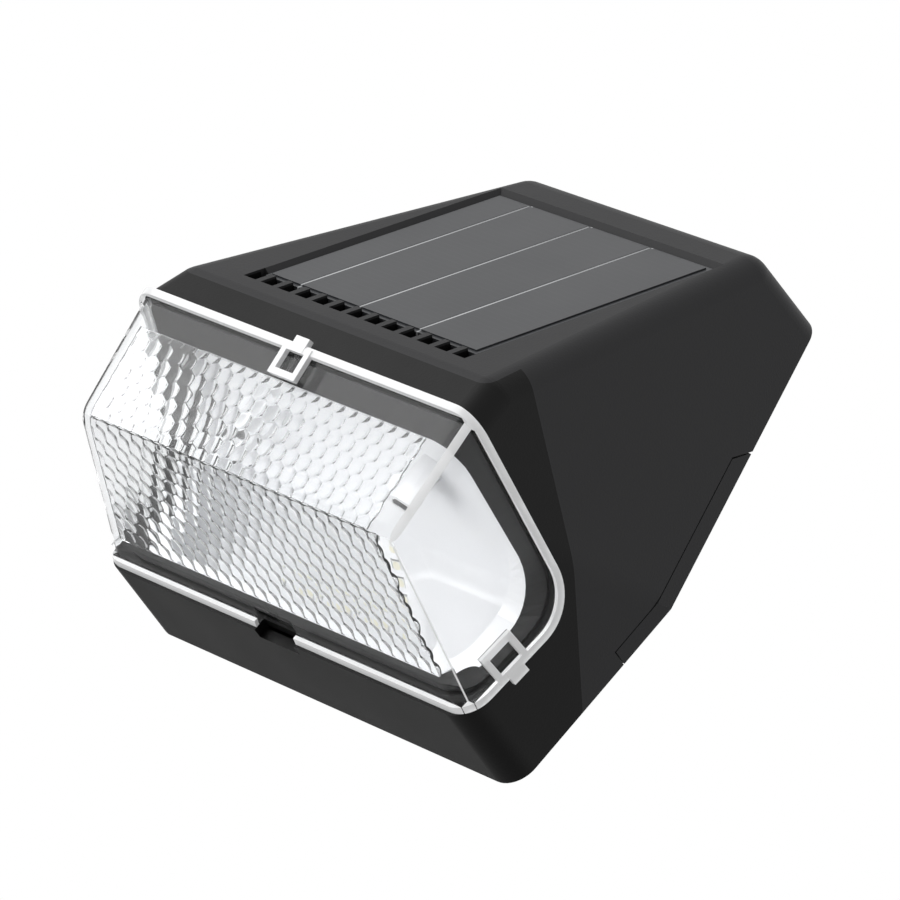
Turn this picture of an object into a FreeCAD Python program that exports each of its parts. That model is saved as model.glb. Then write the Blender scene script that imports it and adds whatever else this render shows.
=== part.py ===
import FreeCAD, Part
import math
import os
import Sketcher

Vector = FreeCAD.Vector
doc = FreeCAD.newDocument("fence_light")
sheet = doc.addObject("Spreadsheet::Sheet", "Dims")

# Driving dimensions in millimetres. X is across the lamp, Z is up the wall and the lamp reaches
# out from the wall along -Y, so a depth is how far a line of the profile lies from the back.
DIMENSIONS = {
    # outline of the back and how it changes towards the front
    "lamp_height": 100.0, "top_width": 67.0, "waist_width": 100.0, "foot_width": 97.8, "waist_level": -9.5,
    "front_depth": 56.0, "front_waist_width": 96.7, "front_waist_level": -32.5,
    # side profile: top, brow over the lens, lens rim, lens ridge, notch behind the lens, sill under it
    "top_depth": 17.0, "brow_depth": 53.6, "brow_level": -8.0, "rim_depth": 55.0, "rim_level": -15.5,
    "ridge_depth": 50.1, "ridge_level": -39.9, "ridge_width": 84.4, "notch_depth": 18.5, "notch_level": -23.4,
    "sill_depth": 18.2, "sill_level": -48.5, "wall": 2.0, "seat_gap": 0.3,
    "edge_round": 3.0, "corner_round": 5.0, "waist_round": 12.0, "notch_round": 10.0,
    # solar panel recess in the slope, and the comb of drain slots along its lower edge
    "panel_width": 55.3, "panel_length": 52.3, "panel_start": 7.2, "panel_sink": 2.0, "panel_thick": 1.6,
    "panel_gap": 0.15, "pad_thick": 0.5, "cell_thick": 0.3, "cell_pitch": 15.7, "cell_seam": 0.7,
    "first_seam": 8.75, "comb_count": 13.0, "comb_pitch": 4.58, "comb_width": 3.2, "comb_length": 3.6,
    "comb_sink": 5.6, "lip_width": 1.2, "lip_sink": 1.1,
    # clear lens and its clips
    "lens_wall": 1.8, "lens_round": 5.0, "bead_height": 0.9, "bead_width": 1.2,
    "clip_width": 7.0, "clip_length": 6.0, "clip_thick": 1.2, "clip_bar": 1.2, "hook_width": 3.4, "hook_rise": 1.6,
    "clip_level": -38.2,
    "pry_left": -6.4, "pry_right": 4.4, "pry_slant": 1.0, "pry_depth": 6.0, "pry_chamfer": 1.4,
    # reflector
    "ledge": 5.2, "bowl_wall": 1.5, "bowl_sink": 4.0, "bowl_back": 9.5, "bowl_draft": 5.0, "bowl_side": 1.5, "bowl_round": 4.0,
    "post_radius": 3.0, "post_spacing": 42.0, "post_depth": 34.0, "post_level": -26.0, "screw_head": 1.9,
    "screw_core": 1.0, "screw_length": 7.0, "screw_rise": 0.9, "tower_gap": 0.1, "tower_top": 22.0, "slot_width": 0.6,
    "tab_width": 5.0, "tab_reach": 2.0, "tab_thick": 0.7, "tab_spacing": 70.0,
    # light board
    "board_thick": 1.2, "board_width": 44.0, "board_height": 9.0, "board_level": -33.0, "led_count": 6.0,
    "led_pitch": 5.2, "led_size": 3.0, "led_rise": 1.2, "led_window": 3.3,
    # back cover, its lugs in the sides of the housing, and the pocket for the wall bracket
    "cover_thick": 2.0, "cover_gap": 0.35, "lug_depth": 3.3, "lug_root": 0.5, "lug_top": 22.0, "lug_bottom": -22.0,
    "gasket_width": 1.3, "gasket_inset": 0.95, "gasket_thick": 1.0, "step_width": 3.2, "step_thick": 1.5,
    "boss_radius": 2.6, "boss_length": 13.8, "cover_screw": 1.2, "cover_head": 2.2,
    "upper_screw_spacing": 48.4, "upper_screw_drop": 7.5, "upper_screw_level": "=lamp_height / 2 - upper_screw_drop",
    "lower_screw_inset": 5.9, "lower_screw_spacing": "=foot_width - 2 * lower_screw_inset",
    "lower_screw_rise": 7.0, "lower_screw_level": "=lower_screw_rise - lamp_height / 2",
    "bracket_width": 40.0, "bracket_height": 40.0, "bracket_level": 4.0, "bracket_thick": 2.0,
    "bracket_round": 3.0, "bracket_hole": 2.2, "bracket_hole_spacing": 28.0, "pocket_sink": 3.0,
    "pocket_gap": 0.6, "pocket_wall": 1.6, "lift": 9.0, "stud_spacing": 26.0, "stud_level": 14.0,
    "stud_radius": 2.0, "stud_head": 3.6, "stud_head_thick": 1.5, "keyhole_gap": 0.25, "cup_wall": 1.2,
    # push button on the back and the control board behind it
    "button_radius": 5.0, "button_gap": 0.2, "button_drop": 14.0, "button_level": "=lamp_height / 2 - button_drop", "button_flange": 6.6,
    "button_flange_thick": 1.0, "button_sink": 0.5, "button_stem": 1.8, "button_travel": 1.0,
    "control_width": 40.0, "control_height": 16.0, "control_depth": 12.0, "switch_size": 6.0,
    "switch_height": 3.4, "plunger_radius": 1.4, "plunger_rise": 0.8, "control_post": 2.0,
    # battery across the middle of the housing
    "battery_radius": 7.0, "battery_length": 50.0, "battery_level": 6.0, "tray_wall": 1.5, "tray_gap": 0.3,
    "contact_thick": 0.4,
}
for row, (alias, value) in enumerate(DIMENSIONS.items(), start=1):
    sheet.set(f"A{row}", alias)
    sheet.set(f"B{row}", str(value))
    sheet.setAlias(f"B{row}", alias)
    doc.recompute()


def size(alias):
    return float(sheet.get(alias))


def bind(expression):
    """An expression with every driving dimension named in full."""
    words = expression.replace("(", " ( ").replace(")", " ) ").split()
    return " ".join(f"Dims.{word}" if word in DIMENSIONS else word for word in words)


# ---------------------------------------------------------------- building blocks

def new_body(name):
    return doc.addObject("PartDesign::Body", name)


def origin_plane(body, role):
    return next(item for item in body.Origin.OriginFeatures if item.Role == role)


def new_sketch(body, name, role, offset="0"):
    sketch = body.newObject("Sketcher::SketchObject", name)
    sketch.AttachmentSupport = [(origin_plane(body, role), "")]
    sketch.MapMode = "FlatFace"
    sketch.setExpression("AttachmentOffset.Base.z", bind(offset))
    return sketch


def pin_point(sketch, curve, point, across, up):
    """Holds one point of a curve at two distances from the sketch origin."""
    for kind, expression in (("DistanceX", across), ("DistanceY", up)):
        index = sketch.addConstraint(Sketcher.Constraint(kind, -1, 1, curve, point, 1.0))
        sketch.setExpression(f"Constraints[{index}]", bind(expression))


def draw_outline(sketch, corners):
    """A closed outline of straight lines through corners given as expressions."""
    start = sketch.GeometryCount
    spots = [Vector(math.cos(2 * math.pi * i / len(corners)), math.sin(2 * math.pi * i / len(corners)), 0)
             for i in range(len(corners))]
    for i, spot in enumerate(spots):
        sketch.addGeometry(Part.LineSegment(spot, spots[(i + 1) % len(spots)]), False)
    for i in range(len(corners)):
        following = start + (i + 1) % len(corners)
        sketch.addConstraint(Sketcher.Constraint("Coincident", start + i, 2, following, 1))
    for i, (across, up) in enumerate(corners):
        pin_point(sketch, start + i, 1, across, up)


def draw_box(sketch, left, right, low, high):
    draw_outline(sketch, [(left, low), (right, low), (right, high), (left, high)])


def draw_circle(sketch, across, up, radius):
    curve = sketch.addGeometry(Part.Circle(Vector(0, 0, 0), Vector(0, 0, 1), 1.0), False)
    pin_point(sketch, curve, 3, across, up)
    index = sketch.addConstraint(Sketcher.Constraint("Radius", curve, 1.0))
    sketch.setExpression(f"Constraints[{index}]", bind(radius))


def pad(body, sketch, length, midplane=False, inward=False):
    feature = body.newObject("PartDesign::Pad", sketch.Name + "_pad")
    feature.Profile = sketch
    feature.setExpression("Length", bind(length))
    feature.Midplane = midplane
    feature.Reversed = inward
    sketch.Visibility = False
    return feature


def pocket(body, sketch, length, midplane=False, forward=False):
    feature = body.newObject("PartDesign::Pocket", sketch.Name + "_pocket")
    feature.Profile = sketch
    feature.setExpression("Length", bind(length))
    feature.Midplane = midplane
    feature.Reversed = forward
    return feature


def boolean(kind, name, base, *tools):
    if kind == "Cut":
        result = doc.addObject("Part::Cut", name)
        result.Base = base
        result.Tool = tools[0] if len(tools) == 1 else boolean("MultiFuse", name + "_tools", *tools)
        return result
    result = doc.addObject("Part::" + kind, name)
    result.Shapes = [base, *tools]
    return result


def rounded(name, base, groups):
    """Fillets groups of edges; each group is a test on an edge and a radius alias."""
    doc.recompute()
    feature = doc.addObject("Part::Fillet", name)
    feature.Base = base
    edges = []
    for chosen, alias in groups:
        for number, edge in enumerate(base.Shape.Edges, start=1):
            if chosen(edge):
                edges.append((number, size(alias), size(alias)))
    feature.Edges = edges
    return feature


def finish(node, name, seated=True):
    """Names a sub-part; a piece of the lamp stands off the wall by the seat gap."""
    node.Label = name
    node.setExpression("Placement.Base.y", bind("-1 * seat_gap") if seated else "0 mm")
    return node


def solid_feature(name, shape):
    feature = doc.addObject("Part::Feature", name)
    feature.Shape = shape
    return feature


def middle(edge):
    return edge.valueAt((edge.FirstParameter + edge.LastParameter) / 2)


# ---------------------------------------------------------------- housing

ACROSS = Vector(1, 0, 0)
# the waist is the edge on each side where the flare from the top ends
WAIST_BACK = Vector(size("waist_width") / 2, 0, size("waist_level"))
WAIST_FRONT = Vector(size("front_waist_width") / 2, -size("front_depth"), size("front_waist_level"))
TOP_BACK = Vector(size("top_width") / 2, 0, size("lamp_height") / 2)
FOOT_BACK = Vector(size("foot_width") / 2, 0, -size("lamp_height") / 2)
UPPER_SIDE = (WAIST_FRONT - WAIST_BACK).cross(TOP_BACK - WAIST_BACK).normalize() * -1
LOWER_SIDE = (WAIST_FRONT - WAIST_BACK).cross(FOOT_BACK - WAIST_BACK).normalize()
# the side of the blocks that planes are cut from, well beyond the lamp
REACH = 4 * size("lamp_height")


def mirrored(vector):
    return Vector(-vector.x, vector.y, vector.z)


def half_space(point, normal):
    """A large block that lies on the outer side of a plane."""
    block = Part.makeBox(REACH, REACH, REACH, Vector(-REACH / 2, -REACH / 2, 0))
    block.Placement = FreeCAD.Placement(point, FreeCAD.Rotation(Vector(0, 0, 1), normal))
    return block


def side_half(depth, level):
    """Half of the lamp's width at a depth and level, where the nearer of its two side faces lies."""
    spot = Vector(0, -depth, level)
    return min((WAIST_BACK - spot).dot(normal) / normal.x for normal in (UPPER_SIDE, LOWER_SIDE))


def wedge(name, *insets):
    """The lamp's outer form drawn in by the sum of some insets: the side profile carried across the lamp,
    cut by the flaring side faces above the waist and the steep ones below it."""
    inset = "( " + " + ".join(insets or ["0"]) + " )"
    top = f"lamp_height / 2 - {inset}"
    foot = f"-1 * lamp_height / 2 + {inset}"
    body = new_body(name + "_profile")
    profile = new_sketch(body, name + "_side", "YZ_Plane")
    draw_outline(profile, [
        ("0", top), (f"-1 * top_depth + 0.55 * {inset}", top),
        (f"-1 * brow_depth + 0.95 * {inset}", f"brow_level - 0.37 * {inset}"),
        (f"-2 * rim_depth + brow_depth + 1.05 * {inset}", f"2 * rim_level - brow_level + 0.37 * {inset}"),
        (f"-2 * rim_depth + brow_depth + 1.05 * {inset}", foot), ("0", foot)])
    pad(body, profile, "waist_width * 1.2", midplane=True)
    spot = WAIST_BACK - ACROSS * sum(size(alias) for alias in insets)
    blocks = []
    for normal in (UPPER_SIDE, LOWER_SIDE):
        blocks.append(solid_feature(name + "_right_of", half_space(spot, normal)))
        blocks.append(solid_feature(name + "_left_of", half_space(mirrored(spot), mirrored(normal))))
    return boolean("Cut", name, body, *blocks)


def side_planes():
    """The four corner points of the lens seen from the side; three of them lie on its right side face."""
    rim = Vector(side_half(size("rim_depth"), size("rim_level")), -size("rim_depth"), size("rim_level"))
    ridge = Vector(size("ridge_width") / 2, -size("ridge_depth"), size("ridge_level"))
    sill = Vector(side_half(size("sill_depth"), size("sill_level")), -size("sill_depth"), size("sill_level"))
    notch = Vector(0, -size("notch_depth"), size("notch_level"))
    return rim, ridge, sill, notch


RIM, RIDGE, SILL, NOTCH = side_planes()
UPPER_NORMAL = (RIM - RIDGE).cross(ACROSS).normalize() * -1
LOWER_NORMAL = (RIDGE - SILL).cross(ACROSS).normalize() * -1
KITE_NORMAL = (RIDGE - RIM).cross(SILL - RIM).normalize()
SEAT_TOP = (NOTCH - RIM).cross(ACROSS).normalize() * -1
SEAT_BACK = (SILL - NOTCH).cross(ACROSS).normalize() * -1
# every normal points out of the lens
LENS_CENTRE = (RIM + RIDGE + SILL + NOTCH) / 4
TOUCH = 0.01


def outward(point, normal):
    return normal if (point - LENS_CENTRE).dot(normal) > 0 else normal * -1


UPPER_NORMAL = outward(RIM, UPPER_NORMAL)
LOWER_NORMAL = outward(SILL, LOWER_NORMAL)
KITE_NORMAL = outward(RIM, KITE_NORMAL)
SEAT_TOP = outward(RIM, SEAT_TOP)
SEAT_BACK = outward(SILL, SEAT_BACK)


def cut_solid(planes):
    solid = Part.makeBox(REACH / 2, REACH / 2, REACH / 2, Vector(-REACH, -REACH, -REACH) / 4)
    for point, normal in planes:
        solid = solid.cut(half_space(point, normal))
    return solid.Solids[0]


def seat_heights(edge):
    """How far the middle of an edge lies beyond the two seat planes."""
    return (middle(edge) - RIM).dot(SEAT_TOP), (middle(edge) - SILL).dot(SEAT_BACK)


def soft_notch(block, grown):
    """Rounds a block's edge between its two seat planes, which are moved out by an amount."""
    edges = [edge for edge in block.Edges if max(abs(height - grown) for height in seat_heights(edge)) < TOUCH]
    return block.makeFillet(size("notch_round") + grown, edges)


def lens_block(front_inset, seat_inset, rounding=0.0):
    """The lens as a full block, its outer facets and its seat planes drawn in by two insets."""
    block = cut_solid([
        (RIM - UPPER_NORMAL * front_inset, UPPER_NORMAL), (SILL - LOWER_NORMAL * front_inset, LOWER_NORMAL),
        (RIM - KITE_NORMAL * front_inset, KITE_NORMAL),
        (mirrored(RIM - KITE_NORMAL * front_inset), mirrored(KITE_NORMAL)),
        (RIM - SEAT_TOP * seat_inset, SEAT_TOP), (SILL - SEAT_BACK * seat_inset, SEAT_BACK)])
    if rounding:
        front = [edge for edge in block.Edges
                 if min(abs(height + seat_inset) for height in seat_heights(edge)) > TOUCH]
        block = block.makeFillet(rounding, front)
    return soft_notch(block, -seat_inset)


def seat_block(grown):
    """All that lies in front of the two seat planes, across the whole lamp."""
    return soft_notch(cut_solid([(RIM + SEAT_TOP * grown, SEAT_TOP), (SILL + SEAT_BACK * grown, SEAT_BACK)]), grown)


def bowl_block(shift, rounding=0.0):
    """The reflector's block from the ledge back into the housing, all its sides moved out by a shift."""
    ledge_top = Vector(0, NOTCH.y - RIM.y, NOTCH.z - RIM.z).normalize() * size("ledge")
    ledge_back = Vector(0, NOTCH.y - SILL.y, NOTCH.z - SILL.z).normalize() * size("ledge")
    draft = math.radians(size("bowl_draft"))
    side_spot = Vector(RIM.x + size("bowl_side") - size("ledge"), RIM.y, RIM.z)
    side_out = ACROSS
    planes = [
        (RIM + SEAT_TOP * size("bowl_sink"), SEAT_TOP), (Vector(0, -size("bowl_back"), 0), Vector(0, 1, 0)),
        (SILL + ledge_back, Vector(0, -math.sin(draft), -math.cos(draft))),
        (side_spot, side_out), (mirrored(side_spot), mirrored(side_out)),
        (RIM + ledge_top, Vector(0, -1, 0.5).normalize())]
    block = cut_solid([(point + normal * shift, normal) for point, normal in planes])
    if rounding:
        edges = [edge for edge in block.Edges if middle(edge).z > SILL.z - size("wall") - REACH / 8]
        block = block.makeFillet(rounding, edges)
    return block


def slope_frame(across, along, sink):
    """A placement on the slope: X across, Y up the slope, Z out of it, from the brow's corner."""
    brow = Vector(0, -size("brow_depth"), size("brow_level"))
    crown = Vector(0, -size("top_depth"), size("lamp_height") / 2)
    up_slope = (crown - brow).normalize()
    out = ACROSS.cross(up_slope)
    turn = FreeCAD.Rotation(ACROSS, up_slope, out, "ZXY")
    return FreeCAD.Placement(brow + ACROSS * across + up_slope * along - out * sink, turn)


def slope_box(name, width, length, height, centre, start, sink):
    """A box let into the slope; its top face lies above the slope's face by height less sink."""
    box = doc.addObject("Part::Box", name)
    for side, expression in (("Length", width), ("Width", length), ("Height", height)):
        box.setExpression(side, bind(expression))
    doc.recompute()
    box.Placement = slope_frame(centre - box.Length.Value / 2, start, sink)
    return box


def back_pegs(name, spots, radius, near, far):
    """Round pegs square to the wall, from one depth to another, at (across, level) pairs."""
    body = new_body(name)
    sketch = new_sketch(body, name + "_rings", "XZ_Plane", near)
    for across, level in spots:
        draw_circle(sketch, across, level, radius)
    pad(body, sketch, f"{far} - {near}")
    return body


COVER_SCREWS = [(f"{sign} * upper_screw_spacing / 2", "upper_screw_level") for sign in (-1, 1)]
COVER_SCREWS += [(f"{sign} * lower_screw_spacing / 2", "lower_screw_level") for sign in (-1, 1)]


def build_housing():
    outer = wedge("housing_outer")
    doc.recompute()
    half = size("lamp_height") / 2

    def side_ridge(edge):
        spot = middle(edge)
        ends = edge.Vertexes
        return abs(spot.x) > 20 and spot.y < -20 and spot.z > 0 and abs(ends[0].Z - ends[-1].Z) > 20

    def brow(edge):
        return abs(middle(edge).x) < 0.1 and abs(middle(edge).z - size("brow_level")) < 0.1

    def crown(edge):
        return abs(middle(edge).x) < 0.1 and abs(middle(edge).z - half) < 0.1 and middle(edge).y < -1

    def band(edge):
        ends = edge.Vertexes
        return abs(middle(edge).x) > 20 and max(end.Y for end in ends) < -50 \
            and abs(max(end.Z for end in ends) - size("brow_level")) < 0.1 and abs(ends[0].Z - ends[-1].Z) > 1

    def top_side(edge):
        spot = middle(edge)
        return abs(spot.x) > 20 and abs(spot.z - half) < 0.1 and -size("top_depth") < spot.y < -1

    def foot(edge):
        spot = middle(edge)
        return abs(spot.x) > 20 and abs(spot.z + half) < 0.1

    def waist(edge):
        spot = middle(edge)
        return abs(spot.x) > 40 and max(end.Y for end in edge.Vertexes) > -0.1 and -30 < spot.z < -15 and spot.y < -20

    # the waist is rounded first, because its ends lie close to the band's
    soft_waist = rounded("housing_soft_waist", outer, [(waist, "waist_round")])
    smooth = rounded("housing_smooth", soft_waist, [
        (side_ridge, "corner_round"), (brow, "edge_round"), (band, "corner_round"), (crown, "corner_round"),
        (top_side, "corner_round"), (foot, "corner_round")])
    inner = wedge("housing_inner", "wall")
    lens_room = solid_feature("lens_room", seat_block(0))
    ledge_room = solid_feature("ledge_room", seat_block(size("wall")))
    hollow = boolean("Cut", "housing_hollow", inner, ledge_room)
    bowl_room = solid_feature("bowl_room", bowl_block(size("cover_gap")))
    shell = boolean("Cut", "housing_shell", smooth, hollow, lens_room, bowl_room)
    tray = slope_box("panel_tray", "panel_width + 2 * wall", "panel_length + comb_length + 2 * wall",
                     "panel_sink + wall + 1", 0, size("panel_start") - size("comb_length") - size("wall"),
                     size("panel_sink") + size("wall") + 1)
    tray_inside = boolean("MultiCommon", "panel_tray_inside", tray, smooth)
    bosses = back_pegs("housing_bosses", COVER_SCREWS, "boss_radius", "cover_thick + gasket_thick",
                       "cover_thick + gasket_thick + boss_length")
    step_body = new_body("gasket_step")
    step = new_sketch(step_body, "gasket_step_ring", "XZ_Plane", "cover_thick + gasket_thick")
    back_outline(step, "wall / 2")
    back_outline(step, "( wall + step_width )")
    pad(step_body, step, "step_thick")
    step_inside = boolean("MultiCommon", "gasket_step_inside", step_body, smooth)
    towers = []
    for sign in (-1, 1):
        tower = doc.addObject("Part::Cylinder", "reflector_tower")
        tower.setExpression("Radius", bind("post_radius"))
        tower.Height = size("tower_top") - TOWER_FOOT + size("post_radius")
        tower.Placement.Base = Vector(sign * size("post_spacing") / 2, -size("post_depth"),
                                      TOWER_FOOT - size("post_radius"))
        towers.append(tower)
    tower_room = boolean("MultiFuse", "reflector_towers", *towers)
    towers_inside = boolean("MultiCommon", "reflector_towers_inside", tower_room, smooth)
    roof = solid_feature("reflector_roof", bowl_block(size("tower_gap")))
    seated_towers = boolean("Cut", "reflector_towers_seated", towers_inside, roof)
    full = boolean("MultiFuse", "housing_full", shell, tray_inside, bosses, step_inside, seated_towers)
    recess = slope_box("panel_recess", "panel_width + 2 * panel_gap", "panel_length + 2 * panel_gap",
                       "panel_sink + 5", 0, size("panel_start") - size("panel_gap"), size("panel_sink"))
    lip = new_body("panel_lip")
    sections = []
    for name, grown, offset in (("floor", "panel_gap", "0"), ("mouth", "( panel_gap + 2 * lip_width )", "2 * lip_sink")):
        outline = new_sketch(lip, "lip_" + name, "XY_Plane", offset)
        draw_box(outline, f"-1 * panel_width / 2 - {grown}", f"panel_width / 2 + {grown}", "0",
                 f"panel_length + panel_gap + {grown}")
        sections.append(outline)
    funnel = lip.newObject("PartDesign::AdditiveLoft", "lip_funnel")
    funnel.Profile = sections[0]
    funnel.Sections = [sections[1]]
    funnel.Ruled = True
    lip.Placement = slope_frame(0, size("panel_start"), size("lip_sink"))
    comb = new_body("comb_slots")
    slot = new_sketch(comb, "comb_slot", "XY_Plane")
    draw_box(slot, "-1 * comb_pitch * ( comb_count - 1 ) / 2 - comb_width / 2",
             "-1 * comb_pitch * ( comb_count - 1 ) / 2 + comb_width / 2", "0", "comb_length + 1")
    first = pad(comb, slot, "comb_sink + 5")
    row = comb.newObject("PartDesign::LinearPattern", "comb_row")
    row.Originals = [first]
    row.Direction = (slot, ["H_Axis"])
    row.setExpression("Length", bind("comb_pitch * ( comb_count - 1 )"))
    row.setExpression("Occurrences", bind("comb_count"))
    comb.Tip = row
    comb.Placement = slope_frame(0, size("panel_start") - size("comb_length"), size("comb_sink"))
    pilots = back_pegs("housing_pilots", COVER_SCREWS, "cover_screw", "cover_thick - 1", "boss_length")
    lug_room = new_body("lug_room")
    lug = new_sketch(lug_room, "lug_outline", "YZ_Plane")
    draw_outline(lug, [("1", "lug_bottom"), ("-1 * lug_depth", "lug_bottom"), ("-1 * lug_depth", "lug_top - 3"),
                       ("0", "lug_top + 1"), ("1", "lug_top + 1")])
    pad(lug_room, lug, "waist_width * 1.2", midplane=True)
    tower_pilots = []
    for sign in (-1, 1):
        pilot = doc.addObject("Part::Cylinder", "tower_pilot")
        pilot.setExpression("Radius", bind("screw_core"))
        pilot.Height = size("screw_length") + 1
        pilot.Placement.Base = Vector(sign * size("post_spacing") / 2, -size("post_depth"), TOWER_FOOT - 1)
        tower_pilots.append(pilot)
    thumb = solid_feature("pry_chamfer", pry_block(size("pry_chamfer"), Vector(0, 1, -1).normalize()))
    body = boolean("Cut", "housing_body", full, recess, lip, comb, pilots, lug_room, thumb, *tower_pilots)
    finish(body, "housing")
    return body


def pry_block(depth, facing):
    """The gap for a pry bar in the lens's lower rim: a block with one slanting side, cut to a depth behind
    a plane that passes the sill and faces a given way."""
    left, right, slant = size("pry_left"), size("pry_right"), size("pry_slant")
    inner = SILL.y - size("pry_depth")
    outer = SILL.y + size("wall")
    corners = [Vector(left, outer, 0), Vector(right, outer, 0), Vector(right - slant, inner, 0), Vector(left, inner, 0)]
    face = Part.Face(Part.makePolygon(corners + corners[:1]))
    block = face.extrude(Vector(0, 0, size("pry_depth") + size("wall")))
    block.Placement.Base.z = SILL.z - size("pry_depth") + size("wall") - size("pry_depth") / 2
    return block.common(half_space(SILL - facing * depth, facing)) if depth else block


# the towers start on the reflector's roof
ROOF = RIM + SEAT_TOP * size("bowl_sink")
TOWER_FOOT = ROOF.z - (-size("post_depth") - ROOF.y) * SEAT_TOP.y / SEAT_TOP.z + 0.1
POST_SPOTS = [Vector(sign * size("post_spacing") / 2, -size("post_depth"), size("post_level")) for sign in (-1, 1)]


# ---------------------------------------------------------------- lens

def local_box(origin, across, out, size_across, size_down, size_out, start=(0, 0, 0)):
    """A box in a face's own frame: across the rim, down the facet and out of it."""
    down = out.cross(across)
    box = Part.makeBox(size_across, size_down, size_out, Vector(*start))
    box.Placement = FreeCAD.Placement(origin, FreeCAD.Rotation(across, down, out, "ZXY"))
    return box


def clip(origin, across, out):
    """A snap clip: a frame round a window on the facet and a hook that reaches over the rim."""
    wide, long = size("clip_width"), size("clip_length")
    thick, bar = size("clip_thick"), size("clip_bar")
    frame = local_box(origin, across, out, wide, long, thick + 0.4, (-wide / 2, 0, -0.4))
    window = local_box(origin, across, out, wide - 2 * bar, long - 2 * bar, thick + 0.1, (-wide / 2 + bar, bar, 0))
    hook_wide, rise = size("hook_width"), size("hook_rise")
    hook = local_box(origin, across, out, hook_wide, rise + bar, thick, (-hook_wide / 2, -rise, 0.1))
    return frame.cut(window).fuse(hook)


def build_lens():
    bead, wide = size("bead_height"), size("bead_width")
    smooth = lens_block(0, 0, size("lens_round"))
    inner = lens_block(size("lens_wall"), -2 * size("lens_wall"))
    rim = lens_block(-bead, 0, size("lens_round") + bead).cut(lens_block(-2 * bead, wide))
    shell = smooth.fuse(rim).cut(inner)
    shell = shell.fuse(clip(Vector(0, RIM.y, RIM.z), ACROSS * -1, UPPER_NORMAL))
    side_level = Vector(0, NOTCH.y, size("clip_level"))
    for sign in (-1, 1):
        out = KITE_NORMAL if sign > 0 else mirrored(KITE_NORMAL)
        edge_point = Vector(sign * kite_half(side_level), side_level.y, side_level.z)
        along = out.cross(SEAT_BACK).normalize()
        shell = shell.fuse(clip(edge_point, along, out))
    shell = shell.cut(pry_block(0, SEAT_BACK))
    return finish(solid_feature("lens", shell.removeSplitter()), "lens")


def kite_half(spot):
    """How far from the middle plane the lens's side facet lies at a depth and level."""
    return RIM.x - ((spot.y - RIM.y) * KITE_NORMAL.y + (spot.z - RIM.z) * KITE_NORMAL.z) / KITE_NORMAL.x


# ---------------------------------------------------------------- reflector and light board

def led_places():
    count = int(size("led_count"))
    return [(i - (count - 1) / 2) * size("led_pitch") for i in range(count)]


def cylinder(radius, base, direction, length):
    return Part.makeCylinder(radius, length, base, direction)


def build_reflector():
    wall = size("bowl_wall")
    shell = bowl_block(0).cut(bowl_block(-wall, size("bowl_round")))
    shell = shell.cut(seat_block(0))
    for corner, normal, across in ((RIM, SEAT_TOP, 0), (SILL, SEAT_BACK, -size("tab_spacing") / 2),
                                   (SILL, SEAT_BACK, size("tab_spacing") / 2)):
        shell = shell.fuse(seat_tab(corner, normal, across))
    up = Vector(0, 0, 1)
    for tip in POST_SPOTS:
        post = cylinder(size("post_radius"), tip, up, 20).common(bowl_block(0))
        shell = shell.fuse(post)
    for tip in POST_SPOTS:
        shell = shell.cut(cylinder(size("screw_head") + 0.15, tip - up, up, 1 + size("screw_rise")))
        shell = shell.cut(cylinder(size("screw_core"), tip - up, up, 30))
    back = -size("bowl_back")
    window = size("led_window")
    for across in led_places():
        shell = shell.cut(Part.makeBox(window, 6, window, Vector(
            across - window / 2, back - 4, size("board_level") - window / 2)))
    return finish(solid_feature("reflector", shell.removeSplitter()), "reflector")


def seat_tab(corner, normal, across):
    """A small tab of the bowl's edge that lies on the ledge, near the rim or the sill."""
    inward = Vector(0, NOTCH.y - corner.y, NOTCH.z - corner.z).normalize()
    start = Vector(across, corner.y, corner.z) + inward * (size("ledge") - size("tab_reach"))
    turn = FreeCAD.Rotation(ACROSS, inward, ACROSS.cross(inward), "ZXY")
    thick, wide = size("tab_thick"), size("tab_width")
    low = 0 if ACROSS.cross(inward).dot(normal) < 0 else -thick
    tab = Part.makeBox(wide, size("tab_reach") + size("bowl_wall") / 2, thick, Vector(-wide / 2, 0, low))
    tab.Placement = FreeCAD.Placement(start, turn)
    return tab


def build_reflector_screws():
    up = Vector(0, 0, 1)
    for side, tip in zip(("left", "right"), POST_SPOTS):
        head = cylinder(size("screw_head"), tip, up, size("screw_rise"))
        slot = size("slot_width")
        driver = Part.makeBox(4 * slot, slot, slot, tip - Vector(2 * slot, slot / 2, 0))
        core = cylinder(size("screw_core"), tip, up, TOWER_FOOT - tip.z + size("screw_length") - 0.5)
        finish(solid_feature("reflector_screw_" + side, head.cut(driver).fuse(core)), "reflector_screw_" + side)


def build_light_board():
    body = new_body("led_board")
    outline = new_sketch(body, "led_board_outline", "XZ_Plane", "bowl_back - board_thick")
    draw_box(outline, "-1 * board_width / 2", "board_width / 2", "board_level - board_height / 2",
             "board_level + board_height / 2")
    pad(body, outline, "board_thick")
    finish(body, "led_board")
    for number, across in enumerate(led_places(), start=1):
        led = doc.addObject("Part::Box", "led")
        for side, expression in (("Length", "led_size"), ("Width", "led_rise"), ("Height", "led_size")):
            led.setExpression(side, bind(expression))
        led.setExpression("Placement.Base.x", bind(f"( {number} - 1 - ( led_count - 1 ) / 2 ) * led_pitch - led_size / 2"))
        led.setExpression("Placement.Base.z", bind("board_level - led_size / 2"))
        finish(led, f"led_{number}")
        led.setExpression("Placement.Base.y", bind("-1 * bowl_back - led_rise - seat_gap"))


# ---------------------------------------------------------------- solar panel

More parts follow.
